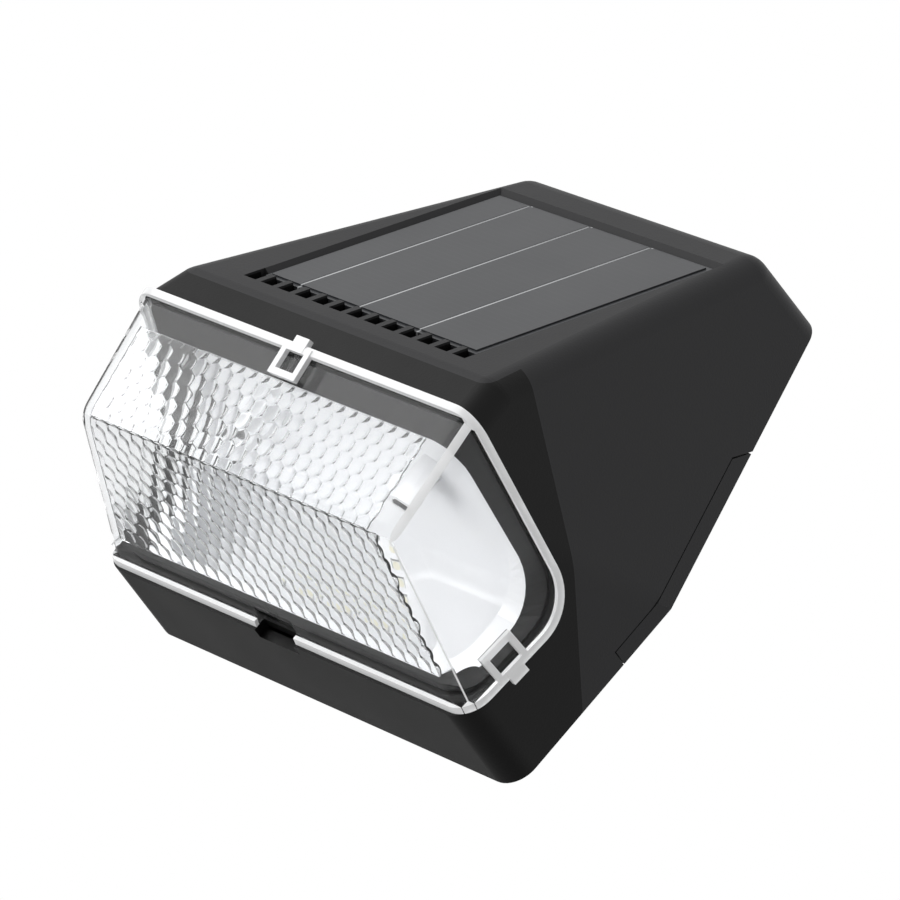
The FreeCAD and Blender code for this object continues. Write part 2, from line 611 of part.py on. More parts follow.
def build_panel():
    floor = size("panel_sink")
    pad_box = slope_box("panel_pad", "panel_width - 4", "panel_length - 4", "pad_thick", 0,
                        size("panel_start") + 2, floor)
    board = slope_box("solar_panel", "panel_width", "panel_length", "panel_thick - pad_thick - cell_thick", 0,
                      size("panel_start"), floor - size("pad_thick"))
    top = floor - size("panel_thick") + size("cell_thick")
    seam, edge = size("cell_seam"), 0.8
    starts = [-size("panel_width") / 2 + edge]
    starts += [-size("panel_width") / 2 + size("first_seam") + i * size("cell_pitch") + seam / 2 for i in range(3)]
    ends = [start - seam for start in starts[1:]] + [size("panel_width") / 2 - edge]
    cells = []
    for number, (low, high) in enumerate(zip(starts, ends), start=1):
        cell = slope_box(f"cell_{number}", "cell_pitch", "panel_length - 1.6", "cell_thick", 0,
                         size("panel_start") + edge, top)
        cell.setExpression("Length", None)
        cell.Length = high - low
        doc.recompute()
        cell.Placement = slope_frame(low, size("panel_start") + edge, top)
        cells.append(cell)
    for piece in (pad_box, board, *cells):
        seat_on_slope(piece, piece.Name)


def seat_on_slope(piece, name):
    piece.Label = name
    piece.Placement.Base = piece.Placement.Base - Vector(0, size("seat_gap"), 0)


# ---------------------------------------------------------------- back cover

def back_outline(sketch, inset):
    """The back's outline drawn in by an inset."""
    half = [("top_width", f"lamp_height / 2 - {inset}"), ("waist_width", "waist_level"),
            ("foot_width", f"-1 * lamp_height / 2 + {inset}")]
    right = [(f"{width} / 2 - {inset}", level) for width, level in half]
    draw_outline(sketch, right + [(f"-1 * ( {across} )", level) for across, level in reversed(right)])


def build_cover():
    plate_body = new_body("cover_plate")
    plate = new_sketch(plate_body, "cover_outline", "XZ_Plane")
    back_outline(plate, "( wall + cover_gap )")
    pad(plate_body, plate, "cover_thick")
    lugs_body = new_body("cover_lugs")
    lug = new_sketch(lugs_body, "cover_lug", "YZ_Plane")
    draw_outline(lug, [("0", "lug_bottom + 0.2"), ("-1 * lug_depth + 0.2", "lug_bottom + 0.2"),
                       ("-1 * lug_depth + 0.2", "lug_top - 3.2"), ("-0.2", "lug_top + 0.4"), ("0", "lug_top + 0.4")])
    pad(lugs_body, lug, "waist_width * 1.2", midplane=True)
    outer = wedge("cover_limit")
    lugs = boolean("MultiCommon", "cover_lugs_flush", lugs_body, outer)
    lug_tips = boolean("Cut", "cover_lug_tips", lugs, wedge("cover_core", "wall", "cover_gap", "lug_root"))
    well_body = new_body("bracket_well")
    well = new_sketch(well_body, "bracket_well_outline", "XZ_Plane")
    wide = "bracket_width / 2 + pocket_gap + pocket_wall"
    draw_box(well, f"-1 * ( {wide} )", wide, "bracket_level - bracket_height / 2 - lift - pocket_gap - pocket_wall",
             "bracket_level + bracket_height / 2 + pocket_gap + pocket_wall")
    pad(well_body, well, "pocket_sink + pocket_wall")
    cup_body = new_body("stud_cups")
    room_body = new_body("stud_rooms")
    slot_body = new_body("stud_slots")
    floor = "pocket_sink + pocket_wall"
    for number, sign in enumerate((-1, 1)):
        centre = f"{sign} * stud_spacing / 2"
        head = "stud_head + keyhole_gap + 0.3"
        outside = f"{head} + cup_wall"
        for body, reach, name in ((cup_body, outside, "cup"), (room_body, head, "room")):
            shape = new_sketch(body, f"{name}_outline_{number}", "XZ_Plane", "pocket_sink" if name == "cup" else floor)
            draw_box(shape, f"{centre} - ( {reach} )", f"{centre} + {reach}",
                     f"stud_level - lift - ( {reach} )", f"stud_level + {reach}")
            depth = "stud_head_thick + 1"
            pad(body, shape, depth if name == "room" else f"pocket_wall + {depth} + cup_wall")
        slot = new_sketch(slot_body, f"slot_outline_{number}", "XZ_Plane", "pocket_sink - 1")
        draw_box(slot, f"{centre} - stud_radius - keyhole_gap", f"{centre} + stud_radius + keyhole_gap",
                 "stud_level - lift", "stud_level + stud_radius + keyhole_gap")
        pad(slot_body, slot, "pocket_wall + 1.5")
        entry = new_sketch(slot_body, f"entry_outline_{number}", "XZ_Plane", "pocket_sink - 1")
        draw_circle(entry, centre, "stud_level - lift", "stud_head + keyhole_gap")
        pad(slot_body, entry, "pocket_wall + 1.5")
    pocket_body = new_body("bracket_pocket")
    hollow = new_sketch(pocket_body, "bracket_pocket_outline", "XZ_Plane", "-1")
    draw_box(hollow, "-1 * ( bracket_width / 2 + pocket_gap )", "bracket_width / 2 + pocket_gap",
             "bracket_level - bracket_height / 2 - lift - pocket_gap", "bracket_level + bracket_height / 2 + pocket_gap")
    pad(pocket_body, hollow, "pocket_sink + 1")
    holes = back_pegs("cover_holes", COVER_SCREWS, "cover_screw + 0.2", "-1", "5")
    sinks = back_pegs("cover_sinks", COVER_SCREWS, "cover_head + 0.2", "-1", "1")
    button_hole = back_pegs("button_hole", [("0", "button_level")], "button_radius + button_gap", "-1", "5")
    posts = back_pegs("control_posts", CONTROL_POSTS, "control_post", "cover_thick", "control_depth")
    solid = boolean("MultiFuse", "cover_solid", plate_body, lug_tips, well_body, cup_body, posts)
    cover = boolean("Cut", "cover_body", solid, pocket_body, room_body, slot_body, holes, sinks, button_hole)
    return finish(cover, "rear_cover")


CONTROL_POSTS = [(f"{sign} * ( control_width / 2 - 3 )", "button_level + 3") for sign in (-1, 1)]


def build_gasket():
    body = new_body("rear_gasket")
    ring = new_sketch(body, "gasket_ring", "XZ_Plane", "cover_thick")
    back_outline(ring, "( wall + cover_gap + gasket_inset )")
    back_outline(ring, "( wall + cover_gap + gasket_inset + gasket_width )")
    pad(body, ring, "gasket_thick")
    finish(body, "rear_gasket")


def build_cover_screws():
    for number, (across, level) in enumerate(COVER_SCREWS, start=1):
        body = back_pegs(f"cover_screw_{number}", [(across, level)], "cover_head", "0", "1")
        core = new_sketch(body, f"cover_screw_core_{number}", "XZ_Plane", "1")
        draw_circle(core, across, level, "cover_screw")
        pad(body, core, "9")
        finish(body, f"cover_screw_{number}")


# ---------------------------------------------------------------- wall bracket

def build_bracket():
    body = new_body("wall_bracket")
    plate = new_sketch(body, "bracket_plate", "XZ_Plane")
    draw_box(plate, "-1 * bracket_width / 2", "bracket_width / 2", "bracket_level - bracket_height / 2",
             "bracket_level + bracket_height / 2")
    for sign in (-1, 1):
        draw_circle(plate, "0", f"bracket_level + {sign} * bracket_hole_spacing / 2", "bracket_hole")
    last = pad(body, plate, "bracket_thick")
    doc.recompute()
    corners = [f"Edge{number}" for number, edge in enumerate(last.Shape.Edges, start=1)
               if abs(middle(edge).x) > size("bracket_width") / 2 - 0.1
               and abs(middle(edge).y + size("bracket_thick") / 2) < 0.1]
    fillet = body.newObject("PartDesign::Fillet", "bracket_corners")
    fillet.Base = (last, corners)
    fillet.setExpression("Radius", bind("bracket_round"))
    body.Tip = fillet
    finish(body, "wall_bracket", seated=False)
    for side, sign in (("left", -1), ("right", 1)):
        centre = f"{sign} * stud_spacing / 2"
        stud = back_pegs(f"bracket_stud_{side}", [(centre, "stud_level")], "stud_radius", "bracket_thick",
                         "seat_gap + pocket_sink + pocket_wall + 0.3")
        head = new_sketch(stud, f"stud_head_{side}", "XZ_Plane", "seat_gap + pocket_sink + pocket_wall + 0.3")
        draw_circle(head, centre, "stud_level", "stud_head")
        pad(stud, head, "stud_head_thick")
        finish(stud, f"bracket_stud_{side}", seated=False)


# ---------------------------------------------------------------- push button, control board, battery

def build_controls():
    spot = [("0", "button_level")]
    button = back_pegs("button", spot, "button_radius", "button_sink", "cover_thick + 0.2")
    flange = new_sketch(button, "button_flange_ring", "XZ_Plane", "cover_thick + 0.2")
    draw_circle(flange, "0", "button_level", "button_flange")
    pad(button, flange, "button_flange_thick")
    stem = new_sketch(button, "button_stem_ring", "XZ_Plane", "cover_thick + 0.2 + button_flange_thick")
    draw_circle(stem, "0", "button_level", "button_stem")
    pad(button, stem, "control_depth - switch_height - plunger_rise - button_travel - 0.2 - cover_thick - 0.2 - "
                      "button_flange_thick")
    finish(button, "button")
    board = new_body("control_board")
    outline = new_sketch(board, "control_outline", "XZ_Plane", "control_depth")
    draw_box(outline, "-1 * control_width / 2", "control_width / 2", "button_level - control_height / 2",
             "button_level + control_height / 2")
    pad(board, outline, "board_thick")
    finish(board, "control_board")
    switch = new_body("button_switch")
    case = new_sketch(switch, "switch_case", "XZ_Plane", "control_depth - switch_height")
    draw_box(case, "-1 * switch_size / 2", "switch_size / 2", "button_level - switch_size / 2",
             "button_level + switch_size / 2")
    pad(switch, case, "switch_height")
    plunger = new_sketch(switch, "switch_plunger", "XZ_Plane", "control_depth - switch_height")
    draw_circle(plunger, "0", "button_level", "plunger_radius")
    pad(switch, plunger, "plunger_rise", inward=True)
    finish(switch, "button_switch")


def build_battery():
    back = "pocket_sink + pocket_wall + stud_head_thick + 1 + cup_wall"
    axis = f"{back} + tray_wall + tray_gap + battery_radius"
    tray = new_body("battery_tray")
    outline = new_sketch(tray, "tray_outline", "XZ_Plane", back)
    reach = "battery_radius + tray_gap + tray_wall"
    end = "battery_length / 2 + contact_thick + tray_wall"
    draw_box(outline, f"-1 * ( {end} )", end, f"battery_level - ( {reach} )", f"battery_level + {reach}")
    pad(tray, outline, reach)
    trough = new_sketch(tray, "tray_trough", "YZ_Plane")
    draw_circle(trough, f"-1 * ( {axis} )", "battery_level", "battery_radius + tray_gap")
    pocket(tray, trough, "battery_length + 2 * contact_thick", midplane=True)
    finish(tray, "battery_tray")
    cell = new_body("battery")
    ring = new_sketch(cell, "battery_ring", "YZ_Plane")
    draw_circle(ring, f"-1 * ( {axis} )", "battery_level", "battery_radius")
    pad(cell, ring, "battery_length", midplane=True)
    finish(cell, "battery")
    for side, sign in (("left", -1), ("right", 1)):
        contact = new_body(f"battery_contact_{side}")
        plate = new_sketch(contact, f"contact_outline_{side}", "YZ_Plane",
                           "battery_length / 2" if sign > 0 else "-1 * battery_length / 2 - contact_thick")
        draw_box(plate, f"-1 * ( {axis} ) - 4", f"-1 * ( {axis} ) + 4", "battery_level - 4", "battery_level + 4")
        pad(contact, plate, "contact_thick")
        finish(contact, f"battery_contact_{side}")


# ---------------------------------------------------------------- assembly

SECTIONS = (build_housing, build_lens, build_reflector, build_reflector_screws, build_light_board, build_panel,
            build_cover, build_gasket, build_cover_screws, build_bracket, build_controls, build_battery)
for section in SECTIONS:
    section()
doc.recompute()

NODES = ["housing", "lens", "reflector", "reflector_screw_left", "reflector_screw_right", "led_board"]
NODES += [f"led_{number}" for number in range(1, int(size("led_count")) + 1)]
NODES += ["panel_pad", "solar_panel"] + [f"cell_{number}" for number in range(1, 5)]
NODES += ["rear_cover", "rear_gasket"] + [f"cover_screw_{number}" for number in range(1, 5)]
NODES += ["wall_bracket", "bracket_stud_left", "bracket_stud_right", "button", "button_switch", "control_board",
          "battery_tray", "battery", "battery_contact_left", "battery_contact_right"]

failed = [item.Name for item in doc.Objects if {"Invalid", "Error"} & set(item.State)]
if failed:
    raise SystemExit("features that did not build: " + ", ".join(failed))
os.makedirs("parts", exist_ok=True)
for label in NODES:
    node = doc.getObjectsByLabel(label)[0]
    if node.Shape.isNull() or not node.Shape.isValid() or len(node.Shape.Solids) != 1:
        raise SystemExit(f"{label} is not one valid solid")
for label in NODES:
    node = doc.getObjectsByLabel(label)[0]
    node.Shape.exportStep(f"parts/{label}.step")
    print(f"{label:24s} {node.Shape.Volume:10.1f} mm3")
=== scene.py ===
import math

import bpy
import numpy as np
from mathutils import Matrix, Vector


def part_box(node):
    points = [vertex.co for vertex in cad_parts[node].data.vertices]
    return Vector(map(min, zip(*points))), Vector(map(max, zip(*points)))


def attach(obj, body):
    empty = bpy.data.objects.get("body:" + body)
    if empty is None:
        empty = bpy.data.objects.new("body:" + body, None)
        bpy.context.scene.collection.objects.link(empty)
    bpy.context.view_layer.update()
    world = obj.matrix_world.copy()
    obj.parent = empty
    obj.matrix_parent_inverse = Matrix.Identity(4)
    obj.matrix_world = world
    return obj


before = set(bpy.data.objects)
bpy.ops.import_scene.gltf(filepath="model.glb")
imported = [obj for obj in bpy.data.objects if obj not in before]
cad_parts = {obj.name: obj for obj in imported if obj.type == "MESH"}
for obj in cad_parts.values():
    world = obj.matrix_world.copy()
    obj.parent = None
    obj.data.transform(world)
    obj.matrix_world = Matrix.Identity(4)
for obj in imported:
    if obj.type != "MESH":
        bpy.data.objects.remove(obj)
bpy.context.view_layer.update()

# ---------------------------------------------------------------------------------------------
# Housing: one hood of black ABS, injection moulded in a spark-eroded tool, so its skin is a fine
# even grain that scatters light softly. The ledge round the lens is the same moulding.


class Socket:
    """A shader socket with Python's arithmetic: each operator adds the Math node of its name."""

    def __init__(self, tree, socket=None):
        self.tree = tree
        self.socket = socket

    def node(self, kind, settings=None, inputs=None, output=0):
        """Adds a node of any kind; its settings come first, then the values or links of its sockets."""
        made = self.tree.nodes.new(kind)
        for name, value in (settings or {}).items():
            setattr(made, name, value)
        for name, value in (inputs or {}).items():
            if isinstance(value, Socket):
                self.tree.links.new(value.socket, made.inputs[name])
            else:
                made.inputs[name].default_value = value
        return Socket(self.tree, made.outputs[output] if made.outputs else None)

    def maths(self, operation, first, second=0.0):
        """Adds a Math node of one or two values."""
        return self.node("ShaderNodeMath", {"operation": operation}, {0: first, 1: second})

    def __add__(self, other):
        return self.maths("ADD", self, other)

    __radd__ = __add__

    def __sub__(self, other):
        return self.maths("SUBTRACT", self, other)

    def __rsub__(self, other):
        return self.maths("SUBTRACT", other, self)

    def __mul__(self, other):
        return self.maths("MULTIPLY", self, other)

    __rmul__ = __mul__

    def larger(self, other):
        return self.maths("MAXIMUM", self, other)

    def smaller(self, other):
        return self.maths("MINIMUM", self, other)

    def __lt__(self, other):
        return self.maths("LESS_THAN", self, other)

    def __gt__(self, other):
        return self.maths("GREATER_THAN", self, other)


def open_finish(name):
    """A new material, empty but for the point on the piece that every pattern reads."""
    material = bpy.data.materials.new(name)
    material.use_nodes = True
    material.node_tree.nodes.clear()
    bench = Socket(material.node_tree)
    return material, bench.node("ShaderNodeTexCoord", output="Object")


def principled(place, **surface):
    """The Principled shader; a value is set on its socket and a Socket is linked to it."""
    inputs = {name.replace("_", " "): value for name, value in surface.items()}
    return place.node("ShaderNodeBsdfPrincipled", inputs=inputs)


def close_finish(place, **surface):
    """Ends a material with one Principled shader."""
    place.node("ShaderNodeOutputMaterial", inputs={"Surface": principled(place, **surface)})


def noise(place, scale, detail):
    """Noise from 0 to 1, with a number of cells per metre."""
    return place.node("ShaderNodeTexNoise", inputs={"Vector": place, "Scale": scale, "Detail": detail})


def grain(place, scale, strength, depth):
    """Fine moulded grain: noise at a scale per metre, as a bump of a depth in metres."""
    pattern = noise(place, scale, detail=3.0)
    return place.node("ShaderNodeBump", inputs={"Strength": strength, "Distance": depth, "Height": pattern})


def between(mask, low, high):
    """A colour that goes from low to high with a mask."""
    inputs = {"Factor": mask, "A": low, "B": high}
    return mask.node("ShaderNodeMix", {"data_type": "RGBA"}, inputs, output=2)


def beyond(place, out, far):
    """How far a point lies beyond a plane, given by its outward normal and its distance from the origin."""
    along = place.node("ShaderNodeVectorMath", {"operation": "DOT_PRODUCT"}, {0: place, 1: out}, output=1)
    return along - far


def dress(material, *nodes):
    """Puts a finish on CAD pieces, in place of the plain one they were packed with."""
    for node in nodes:
        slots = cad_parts[node].data.materials
        slots.clear()
        slots.append(material)


BLACK_ABS = (0.020, 0.020, 0.021, 1)
BLACK_ABS_RUBBED = (0.028, 0.028, 0.0295, 1)
# Painted shade, near black, for the dark inside the comb's slots.
SLOT_SHADE_PAINT = (0.0015, 0.0015, 0.0015, 1)

# The slope: its outward normal, its distance from the origin and the way up it. What lies below one
# level of it and deeper than its skin gets a painted shade, near black, standing for the dark that the
# comb's slots open on. That covers the slots, and also the ledge, the front facet and the lower part of the
# sides and the rear cover.
slope_out = (0, -0.8487, 0.5290)
slope_far = 0.04146
slope_up = (0, 0.5290, 0.8487)
comb_end = -0.0280
slot_depth = 0.0004

abs_black, place = open_finish("black_abs")
cloud_inputs = {"Vector": place, "Scale": 45.0, "Detail": 4.0, "Roughness": 0.6}
cloud = place.node("ShaderNodeTexNoise", inputs=cloud_inputs)
# Painted shade: under the slope's skin and below the comb, the colour turns near black.
under_skin = beyond(place, slope_out, slope_far) < -slot_depth
below_comb = beyond(place, slope_up, comb_end) < 0.0
skin_black = between(cloud, BLACK_ABS, BLACK_ABS_RUBBED)
close_finish(place, Base_Color=between(under_skin * below_comb, skin_black, SLOT_SHADE_PAINT),
             Roughness=0.44 + cloud * 0.12, Specular_IOR_Level=0.15,
             Normal=grain(place, scale=2600.0, strength=0.25, depth=0.00012))
dress(abs_black, "housing", "rear_cover")

# ---------------------------------------------------------------------------------------------
# Reflector: a shallow bowl of white styrene behind the lens, smooth and a little glossy, held by
# two black screws. Its flange and the housing's black ledge round it lie on the seat of the lens
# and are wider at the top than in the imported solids, so they are two thin rings of their own.

WHITE_STYRENE = (0.84, 0.845, 0.855, 1)
WHITE_STYRENE_SHADE = (0.79, 0.795, 0.81, 1)
SCREW_BLACK = (0.016, 0.016, 0.017, 1)

styrene, place = open_finish("white_styrene")
flow = noise(place, scale=30.0, detail=2.0)
close_finish(place, Base_Color=between(flow, WHITE_STYRENE_SHADE, WHITE_STYRENE),
             Roughness=0.26 + flow * 0.08, Coat_Weight=0.25)
dress(styrene, "reflector")

# The seat of the lens, seen from the side as Y and Z, and the rings' corners on it when it is laid
# flat: travel from the rim, half width and rounding.
rim_corner = np.array([-0.0553, -0.0155])
notch_corner = np.array([-0.0188, -0.0234])
sill_corner = np.array([-0.0185, -0.0485])
notch_round = 0.010
flange_outer = [(0.0086, 0.0362, 0.006), (0.0380, 0.0442, 0.008), (0.0562, 0.0452, 0.008)]
flange_inner = [(0.0100, 0.0345, 0.005), (0.0380, 0.0384, 0.005), (0.0534, 0.0384, 0.006)]
ledge_outer = [(0.0026, 0.0420, 0.002), (0.0360, 0.0486, 0.010), (0.0576, 0.0460, 0.006)]
ledge_inner = [(0.0093, 0.0355, 0.006), (0.0380, 0.0435, 0.008), (0.0558, 0.0446, 0.008)]
flange_rise = 0.0003
ledge_rise = 0.00045
seat_clearance = 0.00002


def seat_frame(travel):
    """Points and inward normals of the lens's seat, seen from the side, at distances from its rim:
    a straight, a round notch about a centre on the lens's side, and a straight to the sill."""
    first = (notch_corner - rim_corner) / np.linalg.norm(notch_corner - rim_corner)
    last = (sill_corner - notch_corner) / np.linalg.norm(sill_corner - notch_corner)
    headings = [math.atan2(way[1], way[0]) for way in (first, last)]
    turn = headings[0] - headings[1]
    tangent = notch_round * math.tan(turn / 2)
    start = np.linalg.norm(notch_corner - rim_corner) - tangent
    bent = np.clip((travel - start) / notch_round, 0, turn)
    heading = headings[0] - bent
    normal = np.stack([np.sin(heading), -np.cos(heading)], axis=-1)
    first_normal = np.array([math.sin(headings[0]), -math.cos(headings[0])])
    centre = rim_corner + first * start + notch_round * first_normal
    before = np.minimum(travel - start, 0)[..., None]
    after = np.maximum(travel - start - notch_round * turn, 0)[..., None]
    return centre - notch_round * normal + before * first + after * last, normal


def seat_loop(corners, arc_steps=10, side_steps=40):
    """A closed loop on the seat laid flat, as pairs of travel and across: a shape with corners rounded
    by quadratic curves, equal on both sides, its straights divided evenly to follow the notch."""
    stations = [*corners, *[(travel, -across, radius) for travel, across, radius in reversed(corners)]]
    count = len(stations)
    points = []
    for index, (travel, across, radius) in enumerate(stations):
        here = np.array([travel, across])
        before, after = (np.array(stations[(index + step) % count][:2]) for step in (-1, 1))
        entry = (before - here) / np.linalg.norm(before - here)
        leave = (after - here) / np.linalg.norm(after - here)
        blend = np.linspace(0, 1, arc_steps)[:, None]
        entry_point = here + entry * radius
        leave_point = here + leave * radius
        points.append((1 - blend) ** 2 * entry_point + 2 * blend * (1 - blend) * here
                      + blend ** 2 * leave_point)
        next_radius = stations[(index + 1) % count][2]
        far_point = after - leave * next_radius
        along = np.linspace(0, 1, side_steps + 2)[1:-1, None]
        points.append(leave_point + (far_point - leave_point) * along)
    return np.vstack(points)


def mesh_piece(name, points, faces, material, smooth):
    """A new object at the origin; smooth says, for all its faces or for each, how they are shaded."""
    mesh = bpy.data.meshes.new(name)
    mesh.from_pydata([tuple(point) for point in points], [], [tuple(face) for face in faces])
    mesh.polygons.foreach_set("use_smooth", np.ones(len(faces), dtype=bool) & smooth)
    mesh.materials.append(material)
    mesh.update()
    piece = bpy.data.objects.new(name, mesh)
    bpy.context.scene.collection.objects.link(piece)
    return piece


def seat_ring(name, outer, inner, low, rise, material):
    """A flat ring that lies on the seat: two loops at two heights above it, joined by four bands."""
    loops = []
    for corners, height in ((outer, low), (outer, low + rise), (inner, low + rise), (inner, low)):
        loop = seat_loop(corners)
        section, normal = seat_frame(loop[:, 0])
        loops.append(np.column_stack([loop[:, 1], section + normal * height]))
    count = len(loops[0])
    here = np.arange(count)
    following = (here + 1) % count
    faces = []
    for band in range(len(loops)):
        start = band * count
        end = (band + 1) % len(loops) * count
        faces += list(zip(start + here, end + here, end + following, start + following))
    ring = mesh_piece(name, np.vstack(loops), faces, material, smooth=False)
    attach(ring, "lamp")
    return ring


flange = seat_ring("reflector_flange", flange_outer, flange_inner, seat_clearance, flange_rise, styrene)
flange_top = 2 * seat_clearance + flange_rise
ledge = seat_ring("ledge_trim", ledge_outer, ledge_inner, flange_top, ledge_rise, abs_black)

oxide, place = open_finish("black_oxide")
wear = noise(place, scale=1500.0, detail=2.0)
close_finish(place, Base_Color=SCREW_BLACK, Metallic=0.6, Roughness=0.3 + wear * 0.2)
dress(oxide, "reflector_screw_left", "reflector_screw_right")

# ---------------------------------------------------------------------------------------------
# Light board: white solder mask with a row of surface-mounted chips whose pale yellow phosphor
# shows in the windows of the reflector's back.

MASK_WHITE = (0.72, 0.73, 0.72, 1)
PHOSPHOR = (0.80, 0.775, 0.62, 1)
CHIP_BODY = (0.80, 0.80, 0.77, 1)
phosphor_radius = 0.00141

board_white, place = open_finish("white_solder_mask")
weave = noise(place, scale=900.0, detail=2.0)
close_finish(place, Base_Color=MASK_WHITE, Roughness=0.35 + weave * 0.2)
dress(board_white, "led_board")

led_nodes = [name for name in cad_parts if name.startswith("led_") and name != "led_board"]
for name in led_nodes:
    low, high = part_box(name)
    centre = (Vector(low) + Vector(high)) / 2
    phosphor, place = open_finish("phosphor_" + name)
    from_centre = place.node("ShaderNodeVectorMath", {"operation": "DISTANCE"},
                             {0: place, 1: centre}, output=1)
    on_phosphor = from_centre < phosphor_radius
    close_finish(place, Base_Color=between(on_phosphor, CHIP_BODY, PHOSPHOR), Roughness=0.4)
    dress(phosphor, name)

# ---------------------------------------------------------------------------------------------
# Lens: one clear acrylic moulding in the shape of a bay. Its front and lower facets are moulded
# with small round dimples inside, packed in hexagons, which end short of its right side. Its
# sides, its rim and the snap clips are plain and clear, but its rim bead and its folds carry a
# painted white highlight in place of the light that the rounded acrylic bends there.

lens_wall = 0.0018
rim_line = Vector((0, -0.0553, -0.0155))
ridge_line = Vector((0, -0.0504, -0.0399))
sill_line = Vector((0, -0.0185, -0.0485))
dimple_pitch = 0.0033
dimple_round = 0.0044
skin_gap = 0.00003
skin_base = 0.00006

# Each field of dimples: the two lines of its facet, the share of the way between them where it starts
# and ends, and its left and right sides at those two levels.
dimple_fields = (
    ("upper_dimples", rim_line, ridge_line, (0.245, 0.945), (-0.0405, 0.0352), (-0.0398, 0.0345)),
    ("lower_dimples", ridge_line, sill_line, (0.045, 0.87), (-0.0398, 0.0362), (-0.0445, 0.0412)))


def dimple_skin(start, end, start_sides, end_sides, columns=330, rows=110):
    """One facet's dimples as a closed slab, flat on the wall's side and raised on the other by round
    caps. The height over the base is sqrt(R^2 - d^2) - sqrt(R^2 - D^2), where d is the distance to the
    nearest centre, of two staggered lattices, and D is its most. Gives points, faces and the number
    of curved faces, which come first."""
    down = (end - start).normalized()
    inward = Vector((1, 0, 0)).cross(down).normalized()
    if inward.y < 0:
        inward = -inward
    share, along = np.meshgrid(np.linspace(0, 1, columns), np.linspace(0, 1, rows), indexing="ij")
    travel = along * (end - start).length
    left, right = (near + (far - near) * along for near, far in zip(start_sides, end_sides))
    across = left + (right - left) * share
    row_step = dimple_pitch * math.sqrt(3)
    distance = np.full(across.shape, dimple_pitch)
    for shift in (0.0, 0.5):
        off_across = across / dimple_pitch - shift
        off_travel = travel / row_step - shift
        off_across = (off_across - np.round(off_across)) * dimple_pitch
        off_travel = (off_travel - np.round(off_travel)) * row_step
        distance = np.minimum(distance, np.hypot(off_across, off_travel))
    farthest = dimple_pitch / math.sqrt(3)
    rise = np.sqrt(dimple_round ** 2 - distance ** 2) - math.sqrt(dimple_round ** 2 - farthest ** 2)
    flat = np.array(start) + across[..., None] * np.array([1.0, 0, 0]) + travel[..., None] * np.array(down)
    under = flat + np.array(inward) * (lens_wall + skin_gap)
    over = under + (skin_base + rise)[..., None] * np.array(inward)
    number = np.arange(columns * rows).reshape(columns, rows)
    quads = np.stack([number[:-1, :-1], number[1:, :-1], number[1:, 1:], number[:-1, 1:]], axis=-1)
    quads = quads.reshape(-1, 4)
    edge = np.concatenate([number[:-1, 0], number[-1, :-1], number[:0:-1, -1], number[0, :0:-1]])
    outline = np.arange(len(edge)) + columns * rows
    following = np.roll(np.arange(len(edge)), -1)
    walls = np.stack([edge, outline, outline[following], edge[following]], axis=-1)
    points = np.vstack([over.reshape(-1, 3), under.reshape(-1, 3)[edge]])
    faces = [*quads.tolist(), *walls.tolist(), outline[::-1].tolist()]
    return points, faces, len(quads)


def coordinate(place, axis):
    """One coordinate of a point, by the name of its axis."""
    return place.node("ShaderNodeSeparateXYZ", inputs={"Vector": place}, output=axis)


def close_clear(place, surface):
    """Ends a clear finish, which lets the rays from the lamps straight through to what is behind it."""
    shadow_ray = place.node("ShaderNodeLightPath", output="Is Shadow Ray")
    lamps_pass = place.node("ShaderNodeBsdfTransparent")
    lit_through = place.node("ShaderNodeMixShader", inputs={0: shadow_ray, 1: surface, 2: lamps_pass})
    place.node("ShaderNodeOutputMaterial", inputs={"Surface": lit_through})


# The planes of the three kinds of facet on the lens's right half, given as the slope's is. A point
# beyond any of them is on the rim bead, and one near two of them at once is on a fold. Both get a
# painted white highlight, standing for the light that the rounded acrylic bends there.
upper_out, upper_far = (0, -0.9804, -0.1969), 0.057269
lower_out, lower_far = (0, -0.2603, -0.9655), 0.051644
side_out, side_far = (0.9687, -0.2236, -0.1076), 0.056442
bead_rise = 0.0002
upper_fold = 0.0016
lower_fold = 0.0013
# How much of the painted white highlight covers the rim bead and the folds.
fold_highlight_share = 0.85

# Refractive indices, set well under acrylic's own, with which the thick corners would turn black.
lens_index = 1.1
dimple_index = 1.25
CLEAR_ACRYLIC = (0.985, 0.99, 0.995, 1)
# The colour of the painted white highlight on the lens's rim bead and folds.
FOLD_HIGHLIGHT_WHITE = (0.95, 0.955, 0.96, 1)

acrylic, place = open_finish("clear_acrylic")
ripple = noise(place, scale=120.0, detail=1.0)
across_both = coordinate(place.node("ShaderNodeVectorMath", {"operation": "ABSOLUTE"}, {0: place}), "X")
right_half = place.node("ShaderNodeCombineXYZ", inputs={
    "X": across_both, "Y": coordinate(place, "Y"), "Z": coordinate(place, "Z")})
upper = beyond(right_half, upper_out, upper_far)
lower = beyond(right_half, lower_out, lower_far)
side = beyond(right_half, side_out, side_far)
on_bead = upper.larger(lower).larger(side) > bead_rise
on_upper_fold = upper.smaller(side) > -upper_fold
on_lower_fold = lower.smaller(side) > -lower_fold
# Painted highlight: the rim bead and the folds turn mostly to an opaque white.
fold_highlight_mask = on_bead.larger(on_upper_fold).larger(on_lower_fold)
clear = principled(place, Base_Color=CLEAR_ACRYLIC, Roughness=0.01 + ripple * 0.01, IOR=lens_index,
                   Transmission_Weight=1.0, Coat_Weight=0.25)
painted_highlight = principled(place, Base_Color=FOLD_HIGHLIGHT_WHITE, Roughness=0.2 + ripple * 0.1, Coat_Weight=0.5)
close_clear(place, place.node("ShaderNodeMixShader", inputs={0: fold_highlight_mask * fold_highlight_share, 1: clear, 2: painted_highlight}))
dress(acrylic, "lens")

